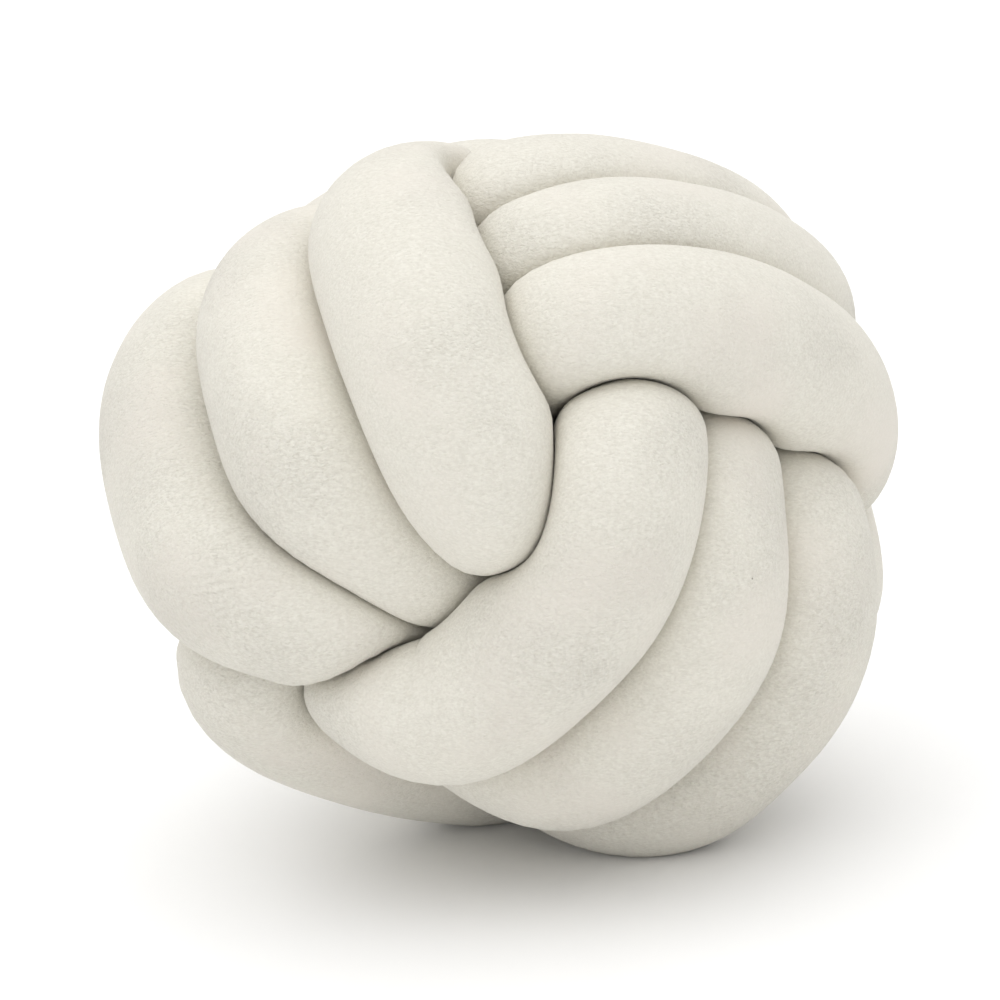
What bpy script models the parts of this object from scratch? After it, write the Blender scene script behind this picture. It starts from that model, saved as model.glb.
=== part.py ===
"""Knot ball cushion: one stuffed plush tube, wound into a ball and closed on itself.

The tube makes three coils of three turns.  Each coil wraps round the next one and is wrapped
by the one before it, so every face of the ball shows three bands lying side by side that dive
under the bands of the neighbouring face.  The end of each coil runs straight on into the next
and the end of the third runs back into the first, so the whole cushion is one closed ring of
tube with no loose ends.

The section of the tube is worked out from its neighbours: a round tube where it is free, and
flattened half way to the next turn where two turns press on each other.
"""
import math

import bpy
import numpy as np

MM = 0.001

# ---- the tube (millimetres) -----------------------------------------------------------
TUBE_RADIUS = 30.5      # radius of the stuffed tube where nothing squeezes it
COIL_PITCH = 51.0       # centre to centre of two neighbouring turns on a face
TURNS = 3               # turns in each coil
PRESS_GAP = 2.5         # slit left between two turns that press together, at the outside
CORE_GAP = 9.0          # the same slit deep inside, where the facets of the body are coarse
SHELL_RADIUS = 135.0    # distance from the centre where the slit starts to widen inward
SHELL_DEPTH = 25.0      # depth over which it widens
CREASE_ROUND = 5.5      # how softly the round side turns into the pressed face
LEAST_RADIUS = 3.0      # the tube is never squeezed thinner than this
NEAR = 8.0              # tube nearer than this along the line does not press on itself
SIDE_DROP = 0.11        # share by which the outer turns of a face sit lower than its middle

# ---- fineness of the body -------------------------------------------------------------
RINGS = 400             # rings of corners along the tube
RING_SIDES = 12         # corners in each ring
LINE_POINTS = 1200      # points of the centre line that the squeeze is measured against

# ---- how the ball rests ---------------------------------------------------------------
TURN_DEG = (-39.0, -26.0, -138.0)   # turn of the knot about X, then Y, then Z
REST_CUT = 9.0          # height of tube pressed flat where the ball stands

# One quarter of a turn, from the middle of a face to the middle of the hidden crossing.
# out: distance from the ball centre through the face; run: distance along the band;
# spread: how much of the pitch is kept; share: end of band reached (0 middle, 1 end);
# follow: how far the station follows the hand-laid offsets of its band.
QUARTER = (
    dict(place="face", out=119.0, run=0.0, spread=1.00, share=0.0, follow=1.0),
    dict(place="bow", out=113.5, run=43.0, spread=0.97, share=0.5, follow=1.0),
    dict(place="shoulder", out=93.0, run=78.0, spread=0.86, share=1.0, follow=1.0),
    dict(place="dive", out=50.0, run=82.0, spread=0.72, share=1.0, follow=0.6),
    dict(place="crossing", out=0.0, run=67.0, spread=0.66, share=1.0, follow=0.0),
)

# The bands of the three faces that are laid by hand, off the regular pattern.
# coil, turn, side: which band; slide: sideways shift at its start, middle and finish;
# lift: outward shift at the same places; reach: extra length at start and finish; fat: extra
# tube radius.
BANDS = (
    dict(coil=0, turn=0, side=1, slide=(0, -9, 1), lift=(-2, 9, 12), reach=(0, -22), fat=2),
    dict(coil=0, turn=1, side=1, slide=(15, 4, -6), lift=(-14, 0, 2), reach=(-8, -25), fat=0),
    dict(coil=0, turn=2, side=1, slide=(25, 12, -2), lift=(-18, 2, 0), reach=(-22, -8), fat=4),
    dict(coil=2, turn=0, side=1, slide=(11, 9, 8), lift=(1, 10, 6), reach=(-6, -6), fat=0),
    dict(coil=2, turn=1, side=1, slide=(-8, 3, 6), lift=(0, 0, 0), reach=(-6, -8), fat=0),
    dict(coil=2, turn=2, side=1, slide=(2, -2, -1), lift=(-3, 4, 0), reach=(-9, -8), fat=3),
    dict(coil=1, turn=2, side=1, slide=(22, 1, 14), lift=(-9, 0, 0), reach=(-28, -10), fat=0),
    dict(coil=1, turn=1, side=1, slide=(16, -2, 14), lift=(-8, -3, -3), reach=(-26, -12), fat=0),
    dict(coil=1, turn=0, side=1, slide=(10, -10, 2), lift=(4, 5, 6), reach=(-22, -14), fat=2),
    dict(coil=2, turn=2, side=-1, slide=(0, 0, 0), lift=(0, 8, 10), reach=(0, 2), fat=2),
    dict(coil=1, turn=2, side=-1, slide=(0, 0, 0), lift=(0, -3, -6), reach=(0, 0), fat=0),
)

# Where the whole ball is pressed in: direction from the centre, distance at which the press
# starts, and its depth at the distance REACH.
REACH = 119.0
PRESSES = (
    dict(name="crown", toward=(0.23, -0.71, 0.67), start=19.0, depth=26.0),
    dict(name="flank", toward=(-0.71, 0.35, 0.61), start=19.0, depth=12.0),
    dict(name="foot", toward=(0.0, 0.0, -1.0), start=19.0, depth=19.0),
)

CLOTH_COLOUR = (0.80, 0.77, 0.70, 1.0)


def band_row(coil, turn, side):
    """The hand-laid offsets of one band, or None where the pattern is regular."""
    for row in BANDS:
        if (row["coil"], row["turn"], row["side"]) == (coil, turn, side):
            return row
    return None


def along_band(values, share):
    """Read start, middle and finish values at a share of the band from -1 to 1."""
    start, middle, finish = values
    return (0.5 * share * (share - 1.0) * start + (1.0 - share * share) * middle
            + 0.5 * share * (share + 1.0) * finish)


def turn_place(phase):
    """Place of a turn in its coil; half way between two turns where it moves over."""
    nearest = round(phase)
    if 0 < nearest < TURNS and abs(phase - nearest) < 1e-9:
        return nearest - 0.5
    return float(min(max(math.floor(phase), 0), TURNS - 1))


def station(coil, phase, quarter, step):
    """One station of the centre line: its point in the knot and the tube radius there."""
    row = QUARTER[4 - step if quarter % 2 == 0 else step]
    out_side = -1 if quarter in (0, 1) else 1
    run_side = 1 if quarter in (0, 3) else -1
    place = turn_place(phase)
    offset = place - 0.5 * (TURNS - 1)
    drop = 1.0 - SIDE_DROP * abs(offset) * (row["out"] / QUARTER[0]["out"]) ** 2
    out = row["out"] * drop
    run = row["run"]
    slide = offset * COIL_PITCH * row["spread"]
    radius = TUBE_RADIUS
    band = band_row(coil, place, out_side)
    if band is not None:
        share = row["share"] * run_side
        follow = row["follow"]
        out += follow * along_band(band["lift"], share)
        slide += follow * along_band(band["slide"], share)
        run += follow * share * share * band["reach"][1 if run_side > 0 else 0]
        radius += follow * band["fat"]
    point = np.zeros(3)
    point[coil] = out * out_side
    point[(coil + 1) % 3] = run * run_side
    point[(coil + 2) % 3] = slide
    return point, radius


def knot_stations():
    """Stations of the three coils in the order the tube runs through them."""
    points, radii = [], []
    for coil in range(3):
        for turn in range(TURNS):
            for quarter in range(4):
                for step in range(4):
                    phase = turn + quarter / 4 + step / 16
                    point, radius = station(coil, phase, quarter, step)
                    points.append(point)
                    radii.append(radius)
        point, radius = station(coil, float(TURNS), 0, 0)
        points.append(point)
        radii.append(radius)
    return np.array(points), np.array(radii)


def pressed(points):
    """Press the ball in where PRESSES say, more the further out a point lies."""
    for press in PRESSES:
        toward = np.array(press["toward"])
        toward = toward / np.linalg.norm(toward)
        past = np.maximum(points @ toward - press["start"], 0.0)
        share = past / (REACH - press["start"])
        points = points - np.outer(press["depth"] * share ** 2, toward)
    return points


def turned(points):
    """Turn the knot to the way it lies on the floor."""
    a, b, c = (math.radians(angle) for angle in TURN_DEG)
    about_x = np.array([[1, 0, 0], [0, math.cos(a), -math.sin(a)], [0, math.sin(a), math.cos(a)]])
    about_y = np.array([[math.cos(b), 0, math.sin(b)], [0, 1, 0], [-math.sin(b), 0, math.cos(b)]])
    about_z = np.array([[math.cos(c), -math.sin(c), 0], [math.sin(c), math.cos(c), 0], [0, 0, 1]])
    return points @ (about_z @ about_y @ about_x).T


def closed_spline(points, pieces=8):
    """Smooth closed curve through the stations, with the station number of each point."""
    count = len(points)
    step = np.linalg.norm(np.roll(points, -1, 0) - points, axis=1) ** 0.5
    matrix = np.zeros((count, count))
    right = np.zeros((count, 3))
    for i in range(count):
        before, after = step[i - 1], step[i]
        j = (i + 1) % count
        matrix[i, i - 1] = after
        matrix[i, i] = 2.0 * (before + after)
        matrix[i, j] = before
        right[i] = 3.0 * (after * (points[i] - points[i - 1]) / before
                          + before * (points[j] - points[i]) / after)
    slope = np.linalg.solve(matrix, right)
    t = (np.arange(pieces) / pieces)[:, None]
    line, number = [], []
    for i in range(count):
        j = (i + 1) % count
        line.append((2 * t ** 3 - 3 * t ** 2 + 1) * points[i]
                    + (t ** 3 - 2 * t ** 2 + t) * slope[i] * step[i]
                    + (-2 * t ** 3 + 3 * t ** 2) * points[j]
                    + (t ** 3 - t ** 2) * slope[j] * step[i])
        number.append(i + t[:, 0])
    return np.vstack(line), np.concatenate(number)


def even_points(line, number, count):
    """Points at equal distances along a closed line, with their station numbers."""
    loop = np.vstack([line, line[:1]])
    travel = np.concatenate([[0.0], np.cumsum(np.linalg.norm(np.diff(loop, axis=0), axis=1))])
    wanted = np.linspace(0.0, travel[-1], count + 1)[:-1]
    points = np.stack([np.interp(wanted, travel, loop[:, i]) for i in range(3)], 1)
    end_number = number[-1] + (number[-1] - number[-2])
    return points, np.interp(wanted, travel, np.append(number, end_number))


def carried_frames(line):
    """Two directions across the tube at every ring, carried along without twisting."""
    ahead = np.roll(line, -1, 0) - np.roll(line, 1, 0)
    ahead = ahead / np.linalg.norm(ahead, axis=1, keepdims=True)
    count = len(line)
    across = np.zeros_like(line)
    first = line[0] - ahead[0] * (line[0] @ ahead[0])
    across[0] = first / np.linalg.norm(first)
    closing = across[0]
    for i in range(count):
        j = (i + 1) % count
        chord = line[j] - line[i]
        size = chord @ chord
        swung = across[i] - 2.0 / size * (chord @ across[i]) * chord
        swung_ahead = ahead[i] - 2.0 / size * (chord @ ahead[i]) * chord
        bend = ahead[j] - swung_ahead
        swung = swung - 2.0 / max(bend @ bend, 1e-12) * (bend @ swung) * bend
        if j:
            across[j] = swung
        else:
            closing = swung
    side = np.cross(ahead[0], across[0])
    miss = math.atan2(closing @ side, closing @ across[0])
    twist = (-miss * np.arange(count) / count)[:, None]
    up = np.cross(ahead, across)
    across = across * np.cos(twist) + up * np.sin(twist)
    return across, np.cross(ahead, across)


def press_limit(rings, outward, line):
    """Distance from each ring centre, in each direction, to half way to the next turn."""
    limit = np.empty(outward.shape[:2])
    for i in range(len(rings)):
        away = line - rings[i]
        square = (away * away).sum(1)
        facing = outward[i] @ away.T
        reach = np.where(facing > 1e-6, square / (2.0 * np.maximum(facing, 1e-6)), 1e9)
        reach[:, square < NEAR * NEAR] = 1e9
        limit[i] = reach.min(1)
    return limit


def gap_at(points):
    """Slit left between two turns at points of their shared face, wider deep in the ball."""
    deep = np.clip((SHELL_RADIUS - np.linalg.norm(points, axis=2)) / SHELL_DEPTH, 0.0, 1.0)
    return PRESS_GAP + (CORE_GAP - PRESS_GAP) * deep


def soft_least(a, b, width):
    """The smaller of two values, rounded over where they come within the width."""
    share = np.clip(0.5 + 0.5 * (b - a) / width, 0.0, 1.0)
    return b * (1.0 - share) + a * share - width * share * (1.0 - share)


def smoothed(values, passes):
    """Even out a closed row of values."""
    for _ in range(passes):
        values = (np.roll(values, 1) + values + np.roll(values, -1)) / 3.0
    return values


def tube_rings():
    """Corner rings of the tube in millimetres, standing on the floor."""
    points, radii = knot_stations()
    line, number = closed_spline(turned(pressed(points)))
    dense, _ = even_points(line, number, LINE_POINTS)
    centres, where = even_points(line, number, RINGS)
    free = smoothed(np.interp(where, np.arange(len(radii) + 1), np.append(radii, radii[0])), 3)
    across, up = carried_frames(centres)
    angle = (2.0 * math.pi * np.arange(RING_SIDES) / RING_SIDES)[None, :, None]
    outward = across[:, None] * np.cos(angle) + up[:, None] * np.sin(angle)
    limit = press_limit(centres, outward, dense)
    limit = limit - 0.5 * gap_at(centres[:, None] + outward * limit[..., None])
    radius = np.maximum(soft_least(free[:, None], limit, CREASE_ROUND), LEAST_RADIUS)
    rings = centres[:, None] + outward * radius[..., None]
    floor = rings[..., 2].min() + REST_CUT
    falling = np.minimum(outward[..., 2], -1e-6)
    to_floor = np.where(outward[..., 2] < 0.0, (floor - centres[:, None, 2]) / falling, 1e9)
    rings = centres[:, None] + outward * np.minimum(radius, to_floor)[..., None]
    low, high = rings.min((0, 1)), rings.max((0, 1))
    return rings - np.array([(low[0] + high[0]) / 2.0, (low[1] + high[1]) / 2.0, floor])


def tube_mesh(name, rings):
    """Closed mesh of a ring of tube, its faces looking outward."""
    count, sides = rings.shape[:2]
    i, j = np.meshgrid(np.arange(count), np.arange(sides), indexing="ij")
    a = i * sides + j
    b = (i + 1) % count * sides + j
    c = (i + 1) % count * sides + (j + 1) % sides
    d = i * sides + (j + 1) % sides
    faces = np.concatenate([np.stack([a, c, b], -1).reshape(-1, 3),
                            np.stack([a, d, c], -1).reshape(-1, 3)])
    mesh = bpy.data.meshes.new(name)
    mesh.from_pydata((rings.reshape(-1, 3) * MM).tolist(), [], faces.tolist())
    mesh.update()
    mesh.polygons.foreach_set("use_smooth", [True] * len(mesh.polygons))
    return mesh


def cloth_material():
    """Ivory short-pile plush."""
    material = bpy.data.materials.new("ivory plush")
    material.use_nodes = True
    shader = material.node_tree.nodes["Principled BSDF"]
    shader.inputs["Base Color"].default_value = CLOTH_COLOUR
    shader.inputs["Roughness"].default_value = 0.9
    return material


def build():
    """Clear the scene and add the cushion."""
    for old in list(bpy.data.objects):
        bpy.data.objects.remove(old, do_unlink=True)
    mesh = tube_mesh("knotted_tube", tube_rings())
    mesh.materials.append(cloth_material())
    bpy.context.scene.collection.objects.link(bpy.data.objects.new("knotted_tube", mesh))


build()
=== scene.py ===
"""Looks of the knot ball cushion: the plush tube, its cloth, the floor, the light and the camera.

The tube is laid by the same sizes as the solid body, far finer, then its cloth is blown up and
let settle, and it gets a short-pile plush finish.
"""
import math

import bpy
import numpy as np
from mathutils import Matrix, Vector, noise


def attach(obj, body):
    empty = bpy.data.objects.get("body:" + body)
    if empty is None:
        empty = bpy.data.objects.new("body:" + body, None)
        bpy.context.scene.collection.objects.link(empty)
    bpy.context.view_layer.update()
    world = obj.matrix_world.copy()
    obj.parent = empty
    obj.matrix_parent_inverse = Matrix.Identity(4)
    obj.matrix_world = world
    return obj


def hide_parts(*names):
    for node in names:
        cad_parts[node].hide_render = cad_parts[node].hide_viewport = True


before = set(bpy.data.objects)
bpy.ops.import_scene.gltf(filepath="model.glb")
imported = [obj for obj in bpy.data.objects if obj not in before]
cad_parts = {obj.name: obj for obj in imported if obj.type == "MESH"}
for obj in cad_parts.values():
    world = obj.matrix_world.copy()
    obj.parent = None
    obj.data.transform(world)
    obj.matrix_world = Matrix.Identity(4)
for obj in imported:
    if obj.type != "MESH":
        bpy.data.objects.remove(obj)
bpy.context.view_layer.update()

bl_info = {
    "name": "Knot ball cushion",
    "version": (1, 0, 0),
    "blender": (4, 5, 0),
    "location": "View3D > Sidebar > Cushion",
    "description": "A stuffed plush tube knotted into a ball, on a pale floor",
    "category": "Add Mesh",
}

MM = 0.001

# ---- the knot (millimetres), laid out as in the solid body -----------------------------
TURNS = 3               # turns in each of the three coils
SIDE_DROP = 0.11        # share by which the outer turns of a face sit lower than its middle
TURN_DEG = (-39.0, -26.0, -138.0)   # turn of the knot about X, then Y, then Z
LEAST_RADIUS = 3.0      # the tube is never squeezed thinner than this
FREE_PASSES = 8         # how often the free radius is evened along the tube
PRESSED_PASSES = 3      # how often the pressed radius is evened along and round the tube
SWELL_SCALES = (26.0, 61.0)         # swells of the filling in a metre, wide and narrow ones
NARROW_SWELL = 0.5      # height of a narrow swell beside a wide one
NEAR = 8.0              # tube nearer than this along the line does not press on itself
REACH = 119.0           # distance from the centre to the middle of a face band
LITTLE, FAR = 1e-6, 1e9             # stand-ins for nothing and for out of reach

# One quarter of a turn, from the middle of a face to the middle of the hidden crossing.
QUARTER = (
    dict(place="face", out=119.0, run=0.0, spread=1.00, share=0.0, follow=1.0),
    dict(place="bow", out=113.5, run=43.0, spread=0.97, share=0.5, follow=1.0),
    dict(place="shoulder", out=93.0, run=78.0, spread=0.86, share=1.0, follow=1.0),
    dict(place="dive", out=50.0, run=82.0, spread=0.72, share=1.0, follow=0.6),
    dict(place="crossing", out=0.0, run=67.0, spread=0.66, share=1.0, follow=0.0),
)

# The bands laid off the regular pattern, with shifts at their start, middle and finish.
BANDS = (
    dict(coil=0, turn=0, side=1, slide=(0, -9, 1), lift=(-2, 9, 12), reach=(0, -22), fat=2),
    dict(coil=0, turn=1, side=1, slide=(15, 4, -6), lift=(-14, 0, 2), reach=(-8, -25), fat=0),
    dict(coil=0, turn=2, side=1, slide=(25, 12, -2), lift=(-18, 2, 0), reach=(-22, -8), fat=4),
    dict(coil=2, turn=0, side=1, slide=(11, 9, 8), lift=(1, 10, 6), reach=(-6, -6), fat=0),
    dict(coil=2, turn=1, side=1, slide=(-8, 3, 6), lift=(0, 0, 0), reach=(-6, -8), fat=0),
    dict(coil=2, turn=2, side=1, slide=(2, -2, -1), lift=(-3, 4, 0), reach=(-9, -8), fat=3),
    dict(coil=1, turn=2, side=1, slide=(22, 1, 14), lift=(-9, 0, 0), reach=(-28, -10), fat=0),
    dict(coil=1, turn=1, side=1, slide=(16, -2, 14), lift=(-8, -3, -3), reach=(-26, -12), fat=0),
    dict(coil=1, turn=0, side=1, slide=(10, -10, 2), lift=(4, 5, 6), reach=(-22, -14), fat=2),
    dict(coil=2, turn=2, side=-1, slide=(0, 0, 0), lift=(0, 8, 10), reach=(0, 2), fat=2),
    dict(coil=1, turn=2, side=-1, slide=(0, 0, 0), lift=(0, -3, -6), reach=(0, 0), fat=0),
)

# Where the whole ball is pressed in, from which distance and how deep at REACH.
PRESSES = (
    dict(name="crown", toward=(0.23, -0.71, 0.67), start=19.0, depth=26.0),
    dict(name="flank", toward=(-0.71, 0.35, 0.61), start=19.0, depth=12.0),
    dict(name="foot", toward=(0.0, 0.0, -1.0), start=19.0, depth=19.0),
)

# ---- fineness of the cloth -------------------------------------------------------------
RINGS = 1560            # rings of corners along the tube
RING_SIDES = 64         # corners in each ring
LINE_POINTS = 2400      # points of the centre line that the squeeze is measured against

# ---- settling of the cloth -------------------------------------------------------------
SETTLE_FRAMES = 16      # steps of the cloth run
SETTLE_PRESSURE = 4.0   # how hard the filling pushes the cloth out
SETTLE_QUALITY = 4      # parts that each step of the cloth run is split into
SETTLE_STEP = 2         # the cloth run uses one corner in so many, both ways
MOST_MOVE = 2.5         # furthest a point of the cloth may move, millimetres

# ---- the pile (metres, and scales for each metre) --------------------------------------
NAP_SCALE = 1250.0      # single tips of the pile
TUFT_SCALE = 520.0      # tips that cling together
WAVE_SCALE = 70.0       # strokes of the pile
TINGE_SCALE = 24.0      # warmer places
PATCH_SCALE = 15.0      # ruffled places
SPECK_SCALE = 95.0      # cells that may hold one speck of lint each
SPECK_REACH = 0.032     # radius of a speck in its cell
SPECK_LEVEL = 0.94      # share of the cells that stay clean
PILE_DEPTH = 0.0011
KNIT_SCALE = 190.0      # ribs of the knit backing, about 1.7 mm apart
PARTED_PILE = (         # places where the pile parts and the knit shows faintly
    (-0.0989, -0.1187, 0.1313),
    (0.0268, -0.1432, 0.1022),
)
PARTED_REACH = 0.019

# ---- the stage (metres and degrees) ----------------------------------------------------
CAMERA_AZIMUTH = 1.54   # degrees to the right of straight ahead
CAMERA_HEIGHT = 13.98   # degrees above the horizon
CAMERA_LEAN = 4.8       # degrees that the top of the camera leans to its right
CAMERA_REACH = 1.076    # distance from the camera to the point it looks at
CAMERA_FOV = 20.0
LOOK_AT = (-0.0022, -0.0031, 0.1284)
CAMERA_SIGHT = 200.0    # furthest the camera sees
SKY_TOWARD = (-0.02, -0.02, 1.0)    # where the sky is brightest
KEY_PLACE = (-0.9, -0.9, 1.9)       # the large soft lamp
KEY_TOWARD = (0.0, 0.0, 0.14)
KEY_SIZE = 1.4
FLOOR_SIZE = 80.0
WHITE = (1.0, 1.0, 1.0, 1.0)


class CushionSizes(bpy.types.PropertyGroup):
    """Sizes and colours of the stuffed tube."""

    tube_radius: bpy.props.FloatProperty(
        name="Tube radius", description="Radius of the stuffed tube where it is free",
        default=30.5 * MM, min=20 * MM, max=40 * MM, unit="LENGTH")
    coil_pitch: bpy.props.FloatProperty(
        name="Coil pitch", description="Centre to centre of two turns on a face",
        default=51.0 * MM, min=40 * MM, max=60 * MM, unit="LENGTH")
    press_gap: bpy.props.FloatProperty(
        name="Press gap", description="Air left between turns that press together",
        default=0.5 * MM, min=0.0, max=2 * MM, unit="LENGTH")
    crease_round: bpy.props.FloatProperty(
        name="Crease rounding", description="How softly a turn starts to press on the next",
        default=3.6 * MM, min=1 * MM, max=10 * MM, unit="LENGTH")
    rest_cut: bpy.props.FloatProperty(
        name="Rest height", description="Height of tube pressed flat on the floor",
        default=9.0 * MM, min=0.0, max=20 * MM, unit="LENGTH")
    uneven: bpy.props.FloatProperty(
        name="Uneven filling", description="Swell and hollow of the filling under the cloth",
        default=0.7 * MM, min=0.0, max=3 * MM, unit="LENGTH")
    plush: bpy.props.FloatVectorProperty(
        name="Plush", description="Colour of the plush", subtype="COLOR", size=3,
        default=(0.83, 0.805, 0.725), min=0.0, max=1.0)
    plush_deep: bpy.props.FloatVectorProperty(
        name="Plush, brushed down", description="Colour where the pile lies away",
        subtype="COLOR", size=3, default=(0.60, 0.565, 0.485), min=0.0, max=1.0)
    plush_warm: bpy.props.FloatVectorProperty(
        name="Plush, warm places", description="Slightly warmer colour of some places",
        subtype="COLOR", size=3, default=(0.80, 0.755, 0.68), min=0.0, max=1.0)
    lint: bpy.props.FloatVectorProperty(
        name="Lint", description="Colour of the few specks of lint", subtype="COLOR", size=3,
        default=(0.20, 0.17, 0.14), min=0.0, max=1.0)


class StageSizes(bpy.types.PropertyGroup):
    """Floor and light of the stage."""

    floor: bpy.props.FloatVectorProperty(
        name="Floor", description="Colour of the floor", subtype="COLOR", size=3,
        default=(0.97, 0.97, 0.97), min=0.0, max=1.0)
    sky_low: bpy.props.FloatProperty(
        name="Sky low", description="Light from the sides and from below", default=0.46, min=0.0)
    sky_high: bpy.props.FloatProperty(
        name="Sky high", description="Light from where the sky is brightest", default=1.95,
        min=0.0)
    key_power: bpy.props.FloatProperty(
        name="Key power", description="Power of the large soft lamp", default=3.0, min=0.0,
        unit="POWER")


# ---- laying the tube -------------------------------------------------------------------
def band_row(coil, turn, side):
    """The listed offsets of one band, or None where the pattern is regular."""
    for row in BANDS:
        if (row["coil"], row["turn"], row["side"]) == (coil, turn, side):
            return row
    return None


def along_band(values, share):
    """Read start, middle and finish values at a share of the band from -1 to 1."""
    start, middle, finish = values
    return (0.5 * share * (share - 1.0) * start + (1.0 - share * share) * middle
            + 0.5 * share * (share + 1.0) * finish)


def turn_place(phase):
    """Place of a turn in its coil; half way between two turns where it moves over."""
    nearest = round(phase)
    if 0 < nearest < TURNS and abs(phase - nearest) < 1e-9:
        return nearest - 0.5
    return float(min(max(math.floor(phase), 0), TURNS - 1))


def station(coil, phase, quarter, step, pitch, tube_radius):
    """One station of the centre line: its point in the knot and the tube radius there."""
    row = QUARTER[4 - step if quarter % 2 == 0 else step]
    out_side = -1 if quarter in (0, 1) else 1
    run_side = 1 if quarter in (0, 3) else -1
    place = turn_place(phase)
    offset = place - 0.5 * (TURNS - 1)
    drop = 1.0 - SIDE_DROP * abs(offset) * (row["out"] / QUARTER[0]["out"]) ** 2
    out = row["out"] * drop
    run = row["run"]
    slide = offset * pitch * row["spread"]
    radius = tube_radius
    band = band_row(coil, place, out_side)
    if band is not None:
        share = row["share"] * run_side
        follow = row["follow"]
        out += follow * along_band(band["lift"], share)
        slide += follow * along_band(band["slide"], share)
        run += follow * share * share * band["reach"][1 if run_side > 0 else 0]
        radius += follow * band["fat"]
    point = np.zeros(3)
    point[coil] = out * out_side
    point[(coil + 1) % 3] = run * run_side
    point[(coil + 2) % 3] = slide
    return point, radius


def knot_stations(pitch, tube_radius):
    """Stations of the three coils in the order the tube runs through them."""
    rows = []
    for coil in range(3):
        for turn in range(TURNS):
            for quarter in range(4):
                for step in range(4):
                    phase = turn + quarter / 4 + step / 16
                    rows.append(station(coil, phase, quarter, step, pitch, tube_radius))
        rows.append(station(coil, float(TURNS), 0, 0, pitch, tube_radius))
    return np.array([row[0] for row in rows]), np.array([row[1] for row in rows])


def pressed(points):
    """Press the ball in where PRESSES say, more the further out a point lies."""
    for press in PRESSES:
        toward = np.array(press["toward"])
        toward = toward / np.linalg.norm(toward)
        past = np.maximum(points @ toward - press["start"], 0.0)
        share = past / (REACH - press["start"])
        points = points - np.outer(press["depth"] * share ** 2, toward)
    return points


def turned(points):
    """Turn the knot to the way it lies on the floor."""
    a, b, c = (math.radians(angle) for angle in TURN_DEG)
    about_x = np.array([[1, 0, 0], [0, math.cos(a), -math.sin(a)], [0, math.sin(a), math.cos(a)]])
    about_y = np.array([[math.cos(b), 0, math.sin(b)], [0, 1, 0], [-math.sin(b), 0, math.cos(b)]])
    about_z = np.array([[math.cos(c), -math.sin(c), 0], [math.sin(c), math.cos(c), 0], [0, 0, 1]])
    return points @ (about_z @ about_y @ about_x).T


def closed_spline(points, pieces=8):
    """Smooth closed curve through the stations, with the station number of each point."""
    count = len(points)
    step = np.linalg.norm(np.roll(points, -1, 0) - points, axis=1) ** 0.5
    matrix = np.zeros((count, count))
    right = np.zeros((count, 3))
    for i in range(count):
        before, after = step[i - 1], step[i]
        j = (i + 1) % count
        matrix[i, i - 1] = after
        matrix[i, i] = 2.0 * (before + after)
        matrix[i, j] = before
        right[i] = 3.0 * (after * (points[i] - points[i - 1]) / before
                          + before * (points[j] - points[i]) / after)
    slope = np.linalg.solve(matrix, right)
    t = (np.arange(pieces) / pieces)[:, None]
    line, number = [], []
    for i in range(count):
        j = (i + 1) % count
        line.append((2 * t ** 3 - 3 * t ** 2 + 1) * points[i]
                    + (t ** 3 - 2 * t ** 2 + t) * slope[i] * step[i]
                    + (-2 * t ** 3 + 3 * t ** 2) * points[j]
                    + (t ** 3 - t ** 2) * slope[j] * step[i])
        number.append(i + t[:, 0])
    return np.vstack(line), np.concatenate(number)


def even_points(line, number, count):
    """Points at equal distances along a closed line, their station numbers and its length."""
    loop = np.vstack([line, line[:1]])
    travel = np.concatenate([[0.0], np.cumsum(np.linalg.norm(np.diff(loop, axis=0), axis=1))])
    wanted = np.linspace(0.0, travel[-1], count + 1)[:-1]
    points = np.stack([np.interp(wanted, travel, loop[:, i]) for i in range(3)], 1)
    end_number = number[-1] + (number[-1] - number[-2])
    return points, np.interp(wanted, travel, np.append(number, end_number)), travel[-1]


def carried_frames(line):
    """Two directions across the tube at every ring, carried along without twisting."""
    ahead = np.roll(line, -1, 0) - np.roll(line, 1, 0)
    ahead = ahead / np.linalg.norm(ahead, axis=1, keepdims=True)
    count = len(line)
    across = np.zeros_like(line)
    first = line[0] - ahead[0] * (line[0] @ ahead[0])
    across[0] = first / np.linalg.norm(first)
    closing = across[0]
    for i in range(count):
        j = (i + 1) % count
        chord = line[j] - line[i]
        size = chord @ chord
        swung = across[i] - 2.0 / size * (chord @ across[i]) * chord
        swung_ahead = ahead[i] - 2.0 / size * (chord @ ahead[i]) * chord
        bend = ahead[j] - swung_ahead
        swung = swung - 2.0 / max(bend @ bend, 1e-12) * (bend @ swung) * bend
        if j:
            across[j] = swung
        else:
            closing = swung
    side = np.cross(ahead[0], across[0])
    miss = math.atan2(closing @ side, closing @ across[0])
    twist = (-miss * np.arange(count) / count)[:, None]
    up = np.cross(ahead, across)
    across = across * np.cos(twist) + up * np.sin(twist)
    return across, np.cross(ahead, across)


def press_limit(rings, outward, line):
    """Distance from each ring centre, in each direction, to half way to the next turn."""
    limit = np.empty(outward.shape[:2])
    for i in range(len(rings)):
        away = line - rings[i]
        square = (away * away).sum(1)
        facing = outward[i] @ away.T
        reach = np.where(facing > LITTLE, square / (2.0 * np.maximum(facing, LITTLE)), FAR)
        reach[:, square < NEAR * NEAR] = FAR
        limit[i] = reach.min(1)
    return limit


def soft_least(a, b, width):
    """The smaller of two values, rounded over where they come within the width."""
    share = np.clip(0.5 + 0.5 * (b - a) / width, 0.0, 1.0)
    return b * (1.0 - share) + a * share - width * share * (1.0 - share)


def smoothed(values, passes):
    """Even out a closed row of values."""
    for _ in range(passes):
        values = (np.roll(values, 1) + values + np.roll(values, -1)) / 3.0
    return values


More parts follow.
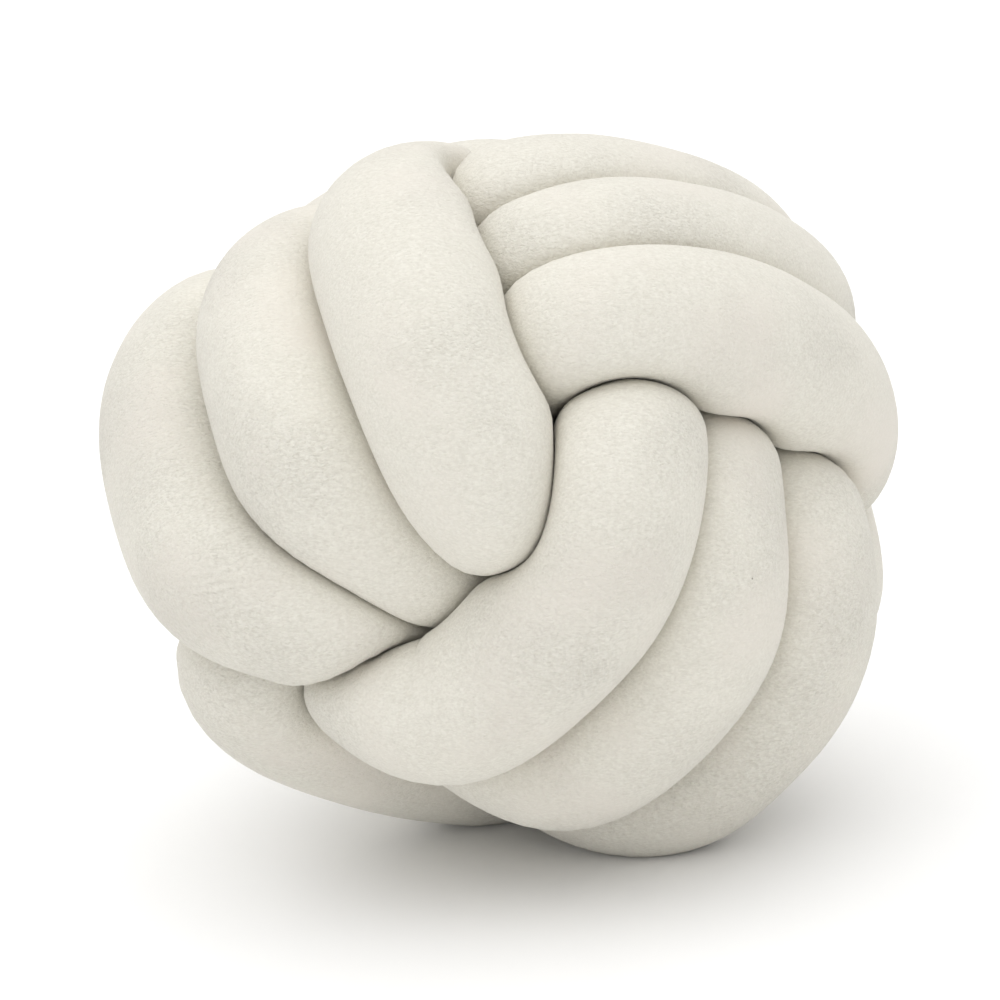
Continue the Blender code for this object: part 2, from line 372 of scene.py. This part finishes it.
def filling_swell(points, size):
    """How far the uneven filling pushes the cloth out at each point, millimetres."""
    wide, narrow = SWELL_SCALES
    swell = [noise.noise(Vector(p) * wide) + NARROW_SWELL * noise.noise(Vector(p) * narrow)
             for p in points.reshape(-1, 3) * MM]
    return size * np.array(swell).reshape(points.shape[:2])


def evened(values, passes):
    """Even out a field of values along the tube and round it."""
    for _ in range(passes):
        for axis in (0, 1):
            values = 0.5 * values + 0.25 * (np.roll(values, 1, axis) + np.roll(values, -1, axis))
    return values


def lay_tube(sizes):
    """Corner rings of the tube, how free each corner is, and the tube's length (millimetres)."""
    points, radii = knot_stations(sizes.coil_pitch / MM, sizes.tube_radius / MM)
    line, number = closed_spline(turned(pressed(points)))
    dense = even_points(line, number, LINE_POINTS)[0]
    centres, where, length = even_points(line, number, RINGS)
    free = np.interp(where, np.arange(len(radii) + 1), np.append(radii, radii[0]))
    free = smoothed(free, FREE_PASSES)
    across, up = carried_frames(centres)
    angle = (2.0 * math.pi * np.arange(RING_SIDES) / RING_SIDES)[None, :, None]
    outward = across[:, None] * np.cos(angle) + up[:, None] * np.sin(angle)
    limit = press_limit(centres, outward, dense) - 0.5 * sizes.press_gap / MM
    swell = filling_swell(centres[:, None] + outward * free[:, None, None], sizes.uneven / MM)
    crease = sizes.crease_round / MM
    radius = soft_least(free[:, None] + swell, limit, crease)
    radius = np.maximum(np.minimum(evened(radius, PRESSED_PASSES), limit), LEAST_RADIUS)
    rings = centres[:, None] + outward * radius[..., None]
    floor = rings[..., 2].min() + sizes.rest_cut / MM
    falling = np.minimum(outward[..., 2], -LITTLE)
    to_floor = np.where(outward[..., 2] < 0.0, (floor - centres[:, None, 2]) / falling, FAR)
    rings = centres[:, None] + outward * np.minimum(radius, to_floor)[..., None]
    loose = np.clip((np.minimum(limit, to_floor) - free[:, None]) / crease, 0.0, 1.0)
    low, high = rings.min((0, 1)), rings.max((0, 1))
    place = np.array([(low[0] + high[0]) / 2.0, (low[1] + high[1]) / 2.0, floor])
    return rings - place, loose, length


def tube_mesh(name, rings, length, girth):
    """Closed mesh of a ring of tube with a cloth map: along the tube, and round it, in metres."""
    count, sides = rings.shape[:2]
    i, j = np.meshgrid(np.arange(count), np.arange(sides), indexing="ij")
    a = i * sides + j
    b = (i + 1) % count * sides + j
    c = (i + 1) % count * sides + (j + 1) % sides
    d = i * sides + (j + 1) % sides
    faces = np.stack([a, d, c, b], -1).reshape(-1, 4)
    mesh = bpy.data.meshes.new(name)
    mesh.from_pydata((rings.reshape(-1, 3) * MM).tolist(), [], faces.tolist())
    mesh.update()
    along = np.stack([i, i, i + 1, i + 1], -1).reshape(-1) * (length * MM / count)
    around = np.stack([j, j + 1, j + 1, j], -1).reshape(-1) * (girth * MM / sides)
    cloth_map = mesh.uv_layers.new(name="cloth")
    cloth_map.data.foreach_set("uv", np.stack([along, around], -1).reshape(-1))
    mesh.polygons.foreach_set("use_smooth", [True] * len(mesh.polygons))
    return mesh


def opened_out(values, axis):
    """Put a new row half way between each two rows of a closed field of values."""
    before = np.roll(values, 1, axis)
    after = np.roll(values, -1, axis)
    beyond = np.roll(values, -2, axis)
    middle = (9.0 * (values + after) - before - beyond) / 16.0
    return np.stack([values, middle], axis + 1).reshape(
        [2 * n if k == axis else n for k, n in enumerate(values.shape)])


def settled(rings, loose, length, girth):
    """Let pressure and the pull of the cloth move the loose corners, and return the moved rings."""
    scene = bpy.context.scene
    coarse = rings[::SETTLE_STEP, ::SETTLE_STEP]
    held = 1.0 - loose[::SETTLE_STEP, ::SETTLE_STEP].reshape(-1)
    trial = bpy.data.objects.new("trial", tube_mesh("trial", coarse, length, girth))
    scene.collection.objects.link(trial)
    group = trial.vertex_groups.new(name="held")
    for index, weight in enumerate(held.tolist()):
        group.add([index], weight, "REPLACE")
    cloth = trial.modifiers.new("cloth", "CLOTH")
    cloth.settings.quality = SETTLE_QUALITY
    cloth.settings.vertex_group_mass = "held"
    cloth.settings.use_pressure = True
    cloth.settings.uniform_pressure_force = SETTLE_PRESSURE
    cloth.settings.effector_weights.gravity = 0.0
    cloth.collision_settings.use_collision = False
    for number in range(1, SETTLE_FRAMES + 1):
        scene.frame_set(number)
    shape = trial.evaluated_get(bpy.context.evaluated_depsgraph_get()).data
    corners = np.empty(3 * len(shape.vertices))
    shape.vertices.foreach_get("co", corners)
    moves = corners.reshape(coarse.shape) / MM - coarse
    scene.frame_set(1)
    mesh = trial.data
    bpy.data.objects.remove(trial)
    bpy.data.meshes.remove(mesh)
    size = np.linalg.norm(moves, axis=2, keepdims=True)
    moves = moves * (np.minimum(size, MOST_MOVE) / np.maximum(size, 1e-9))
    moves = opened_out(opened_out(moves, 0), 1)
    return rings + moves * loose[..., None]


# ---- shader maths ----------------------------------------------------------------------
class Value:
    """A socket of a node tree that can be added, taken away, multiplied and divided."""

    def __init__(self, tree, socket):
        self.tree, self.socket = tree, socket

    def maths(self, operation, other, swap=False):
        """A Math node on this value and another, the other first when they are swapped."""
        node = self.tree.nodes.new("ShaderNodeMath")
        node.operation = operation
        pair = [self, other] if not swap else [other, self]
        for slot, item in enumerate(pair):
            if isinstance(item, Value):
                self.tree.links.new(item.socket, node.inputs[slot])
            else:
                node.inputs[slot].default_value = item
        return Value(self.tree, node.outputs[0])

    def __add__(self, other):
        return self.maths("ADD", other)

    __radd__ = __add__

    def __sub__(self, other):
        return self.maths("SUBTRACT", other)

    def __rsub__(self, other):
        return self.maths("SUBTRACT", other, swap=True)

    def __mul__(self, other):
        return self.maths("MULTIPLY", other)

    __rmul__ = __mul__

    def __truediv__(self, other):
        return self.maths("DIVIDE", other)

    def above(self, level):
        return self.maths("GREATER_THAN", level)

    def below(self, level):
        return self.maths("LESS_THAN", level)

    def clamped(self):
        """The value, kept from 0 to 1."""
        return self.maths("MAXIMUM", 0.0).maths("MINIMUM", 1.0)


class Nodes:
    """A node tree being built, of a material or of the sky."""

    def __init__(self, tree):
        self.tree = tree

    def add(self, kind, sockets, output=0, **settings):
        """Add a node: its settings first, then its sockets, each by its name or number."""
        node = self.tree.nodes.new(kind)
        for key, value in settings.items():
            setattr(node, key, value)
        for key, value in sockets.items():
            self.feed(node.inputs[key], value)
        return Value(self.tree, node.outputs[output])

    def feed(self, socket, value):
        """Link a value to a socket, or set the socket to a plain number or colour."""
        if isinstance(value, Value):
            self.tree.links.new(value.socket, socket)
        else:
            socket.default_value = value

    def noise(self, place, scale, detail=2.0, roughness=0.55, distortion=0.0):
        """Noise of about 0.5 on average."""
        return self.add("ShaderNodeTexNoise", {
            "Vector": place, "Scale": scale, "Detail": detail, "Roughness": roughness,
            "Distortion": distortion})

    def mix(self, first, second, share):
        """Mix two colours by a share from 0 to 1."""
        return self.add("ShaderNodeMix", {0: share, 6: first, 7: second}, output=2,
                        data_type="RGBA")

    def near(self, place, middle, reach):
        """1 at a point, falling to 0 at a distance from it."""
        away = self.add("ShaderNodeVectorMath", {0: place, 1: middle}, output="Value",
                        operation="DISTANCE")
        return (1.0 - away / reach).clamped()


def solid_colour(colour):
    """A colour with nothing see-through about it."""
    return (colour[0], colour[1], colour[2], 1.0)


def new_finish(name):
    """A new material, its nodes and its Principled shader."""
    material = bpy.data.materials.new(name)
    material.use_nodes = True
    return material, Nodes(material.node_tree), material.node_tree.nodes["Principled BSDF"]


def plush_finish(sizes):
    """Short-pile plush: nap, ruffled places, a hint of the knit where the pile parts, lint."""
    material, nodes, shader = new_finish("ivory_plush")
    place = nodes.add("ShaderNodeTexCoord", {}, output="Object")
    cloth = nodes.add("ShaderNodeUVMap", {}, uv_map="cloth")
    combed = nodes.add("ShaderNodeMapping", {"Vector": place, "Scale": (0.5, 1.0, 1.0)})
    nap = nodes.noise(combed, NAP_SCALE, detail=3.0, roughness=0.6, distortion=0.5)
    tufts = nodes.noise(place, TUFT_SCALE)
    waves = nodes.noise(place, WAVE_SCALE, detail=3.0, roughness=0.6, distortion=0.6)
    patches = nodes.noise(place, PATCH_SCALE, roughness=0.5)
    ruffled = ((patches - 0.48) * 5.0).clamped()
    lying = (0.24 + (nap - 0.5) * (1.3 + ruffled * 0.7) + (tufts - 0.5) * (0.3 + ruffled * 0.4)
             + (waves - 0.5) * 0.2).clamped()
    colour = nodes.mix(solid_colour(sizes.plush), solid_colour(sizes.plush_deep), lying)
    tinge = nodes.noise(place, TINGE_SCALE, detail=1.0)
    colour = nodes.mix(colour, solid_colour(sizes.plush_warm), ((tinge - 0.5) * 3.0).clamped())
    cells = {"Vector": place, "Scale": SPECK_SCALE}
    away = nodes.add("ShaderNodeTexVoronoi", cells)
    pick = nodes.add("ShaderNodeTexVoronoi", cells, output="Color")
    chance = nodes.add("ShaderNodeSeparateColor", {"Color": pick})
    lint = away.below(SPECK_REACH) * chance.above(SPECK_LEVEL)
    nodes.feed(shader.inputs["Base Color"],
               nodes.mix(colour, solid_colour(sizes.lint), lint * 0.75))
    nodes.feed(shader.inputs["Roughness"], 0.88 + (tufts - 0.5) * 0.16)
    knit = nodes.add("ShaderNodeTexWave", {
        "Vector": cloth, "Scale": KNIT_SCALE, "Distortion": 1.5, "Detail": 2.0,
        "Detail Scale": 1.6}, wave_type="BANDS", bands_direction="DIAGONAL")
    parted = nodes.near(place, PARTED_PILE[0], PARTED_REACH)
    for middle in PARTED_PILE[1:]:
        parted = parted + nodes.near(place, middle, PARTED_REACH)
    height = (nap * (0.6 + ruffled * 0.7) + tufts * (0.4 + ruffled * 0.4) + waves * 0.6
              + knit * parted * 0.7)
    bump = nodes.add("ShaderNodeBump", {
        "Strength": 0.75, "Distance": PILE_DEPTH, "Height": height})
    nodes.feed(shader.inputs["Normal"], bump)
    shader.inputs["Sheen Weight"].default_value = 0.30
    shader.inputs["Sheen Roughness"].default_value = 0.45
    shader.inputs["Sheen Tint"].default_value = (1.0, 0.98, 0.94, 1.0)
    shader.inputs["Specular IOR Level"].default_value = 0.15
    return material


def floor_finish(colour):
    """Matt pale floor."""
    material, _, shader = new_finish("pale_floor")
    shader.inputs["Base Color"].default_value = solid_colour(colour)
    shader.inputs["Roughness"].default_value = 0.95
    shader.inputs["Specular IOR Level"].default_value = 0.1
    return material


def soft_sky(world, low, high):
    """Even light from all round that grows towards SKY_TOWARD, as under a large soft box."""
    nodes = Nodes(world.node_tree)
    way = nodes.add("ShaderNodeTexCoord", {}, output="Generated")
    facing = nodes.add("ShaderNodeVectorMath", {0: way, 1: Vector(SKY_TOWARD).normalized()},
                       output="Value", operation="DOT_PRODUCT").clamped()
    sky = world.node_tree.nodes["Background"]
    sky.inputs["Color"].default_value = WHITE
    nodes.feed(sky.inputs["Strength"], low + facing * facing * (high - low))


# ---- operators -------------------------------------------------------------------------
class CUSHION_OT_tube(bpy.types.Operator):
    """Lay the stuffed plush tube as a knotted ball and give it its cloth"""

    bl_idname = "cushion.tube"
    bl_label = "Knotted tube"

    def execute(self, context):
        sizes = context.scene.cushion_sizes
        rings, loose, length = lay_tube(sizes)
        girth = 2.0 * math.pi * sizes.tube_radius / MM
        rings = settled(rings, loose, length, girth)
        mesh = tube_mesh("plush_knot", rings, length, girth)
        mesh.materials.append(plush_finish(sizes))
        piece = bpy.data.objects.new("plush_knot", mesh)
        context.scene.collection.objects.link(piece)
        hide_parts("knotted_tube")
        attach(piece, "root")
        return {"FINISHED"}


class CUSHION_OT_stage(bpy.types.Operator):
    """Add the pale floor, the soft light and the camera"""

    bl_idname = "cushion.stage"
    bl_label = "Stage"

    def execute(self, context):
        sizes = context.scene.cushion_stage
        self.floor(context, sizes)
        self.light(context, sizes)
        self.camera(context)
        return {"FINISHED"}

    def floor(self, context, sizes):
        """Lay the floor."""
        bpy.ops.object.select_all(action="DESELECT")
        bpy.ops.mesh.primitive_plane_add(size=FLOOR_SIZE, location=(0.0, 0.0, 0.0))
        floor = context.object
        floor.name = "floor"
        floor.data.materials.append(floor_finish(sizes.floor))

    def light(self, context, sizes):
        """Set the sky and the large soft lamp."""
        world = bpy.data.worlds.new("studio")
        world.use_nodes = True
        soft_sky(world, sizes.sky_low, sizes.sky_high)
        context.scene.world = world
        lamp = bpy.data.lights.new("key", "AREA")
        lamp.shape = "DISK"
        lamp.size = KEY_SIZE
        lamp.energy = sizes.key_power
        key = bpy.data.objects.new("key", lamp)
        key.location = KEY_PLACE
        aim = Vector(KEY_TOWARD) - key.location
        key.rotation_euler = aim.to_track_quat("-Z", "Y").to_euler()
        context.scene.collection.objects.link(key)
        context.scene.view_settings.view_transform = "Standard"

    def camera(self, context):
        """Place the camera."""
        data = bpy.data.cameras.new("camera")
        data.angle = math.radians(CAMERA_FOV)
        data.clip_end = CAMERA_SIGHT
        camera = bpy.data.objects.new("camera", data)
        azimuth, height = math.radians(CAMERA_AZIMUTH), math.radians(CAMERA_HEIGHT)
        toward = Vector((math.sin(azimuth) * math.cos(height),
                         -math.cos(azimuth) * math.cos(height), math.sin(height)))
        camera.location = Vector(LOOK_AT) + toward * CAMERA_REACH
        aim = (-toward).to_track_quat("-Z", "Y").to_matrix()
        lean = Matrix.Rotation(-math.radians(CAMERA_LEAN), 3, "Z")
        camera.rotation_euler = (aim @ lean).to_euler()
        context.scene.collection.objects.link(camera)
        context.scene.camera = camera


class CUSHION_PT_panel(bpy.types.Panel):
    """Buttons and sizes of the cushion"""

    bl_label = "Knot ball cushion"
    bl_space_type = "VIEW_3D"
    bl_region_type = "UI"
    bl_category = "Cushion"

    def draw(self, context):
        layout = self.layout
        for group in (context.scene.cushion_sizes, context.scene.cushion_stage):
            for name in group.__annotations__:
                layout.prop(group, name)
        for operator in (CUSHION_OT_tube, CUSHION_OT_stage):
            layout.operator(operator.bl_idname)


CLASSES = (CushionSizes, StageSizes, CUSHION_OT_tube, CUSHION_OT_stage, CUSHION_PT_panel)


def register():
    """Register the classes and hang the sizes on the scene."""
    for item in CLASSES:
        bpy.utils.register_class(item)
    bpy.types.Scene.cushion_sizes = bpy.props.PointerProperty(type=CushionSizes)
    bpy.types.Scene.cushion_stage = bpy.props.PointerProperty(type=StageSizes)


def unregister():
    """Take back what register did."""
    del bpy.types.Scene.cushion_stage
    del bpy.types.Scene.cushion_sizes
    for item in reversed(CLASSES):
        bpy.utils.unregister_class(item)


def main():
    """Make the cushion and the stage."""
    register()
    bpy.ops.cushion.tube()
    bpy.ops.cushion.stage()


if __name__ == "__main__":
    main()
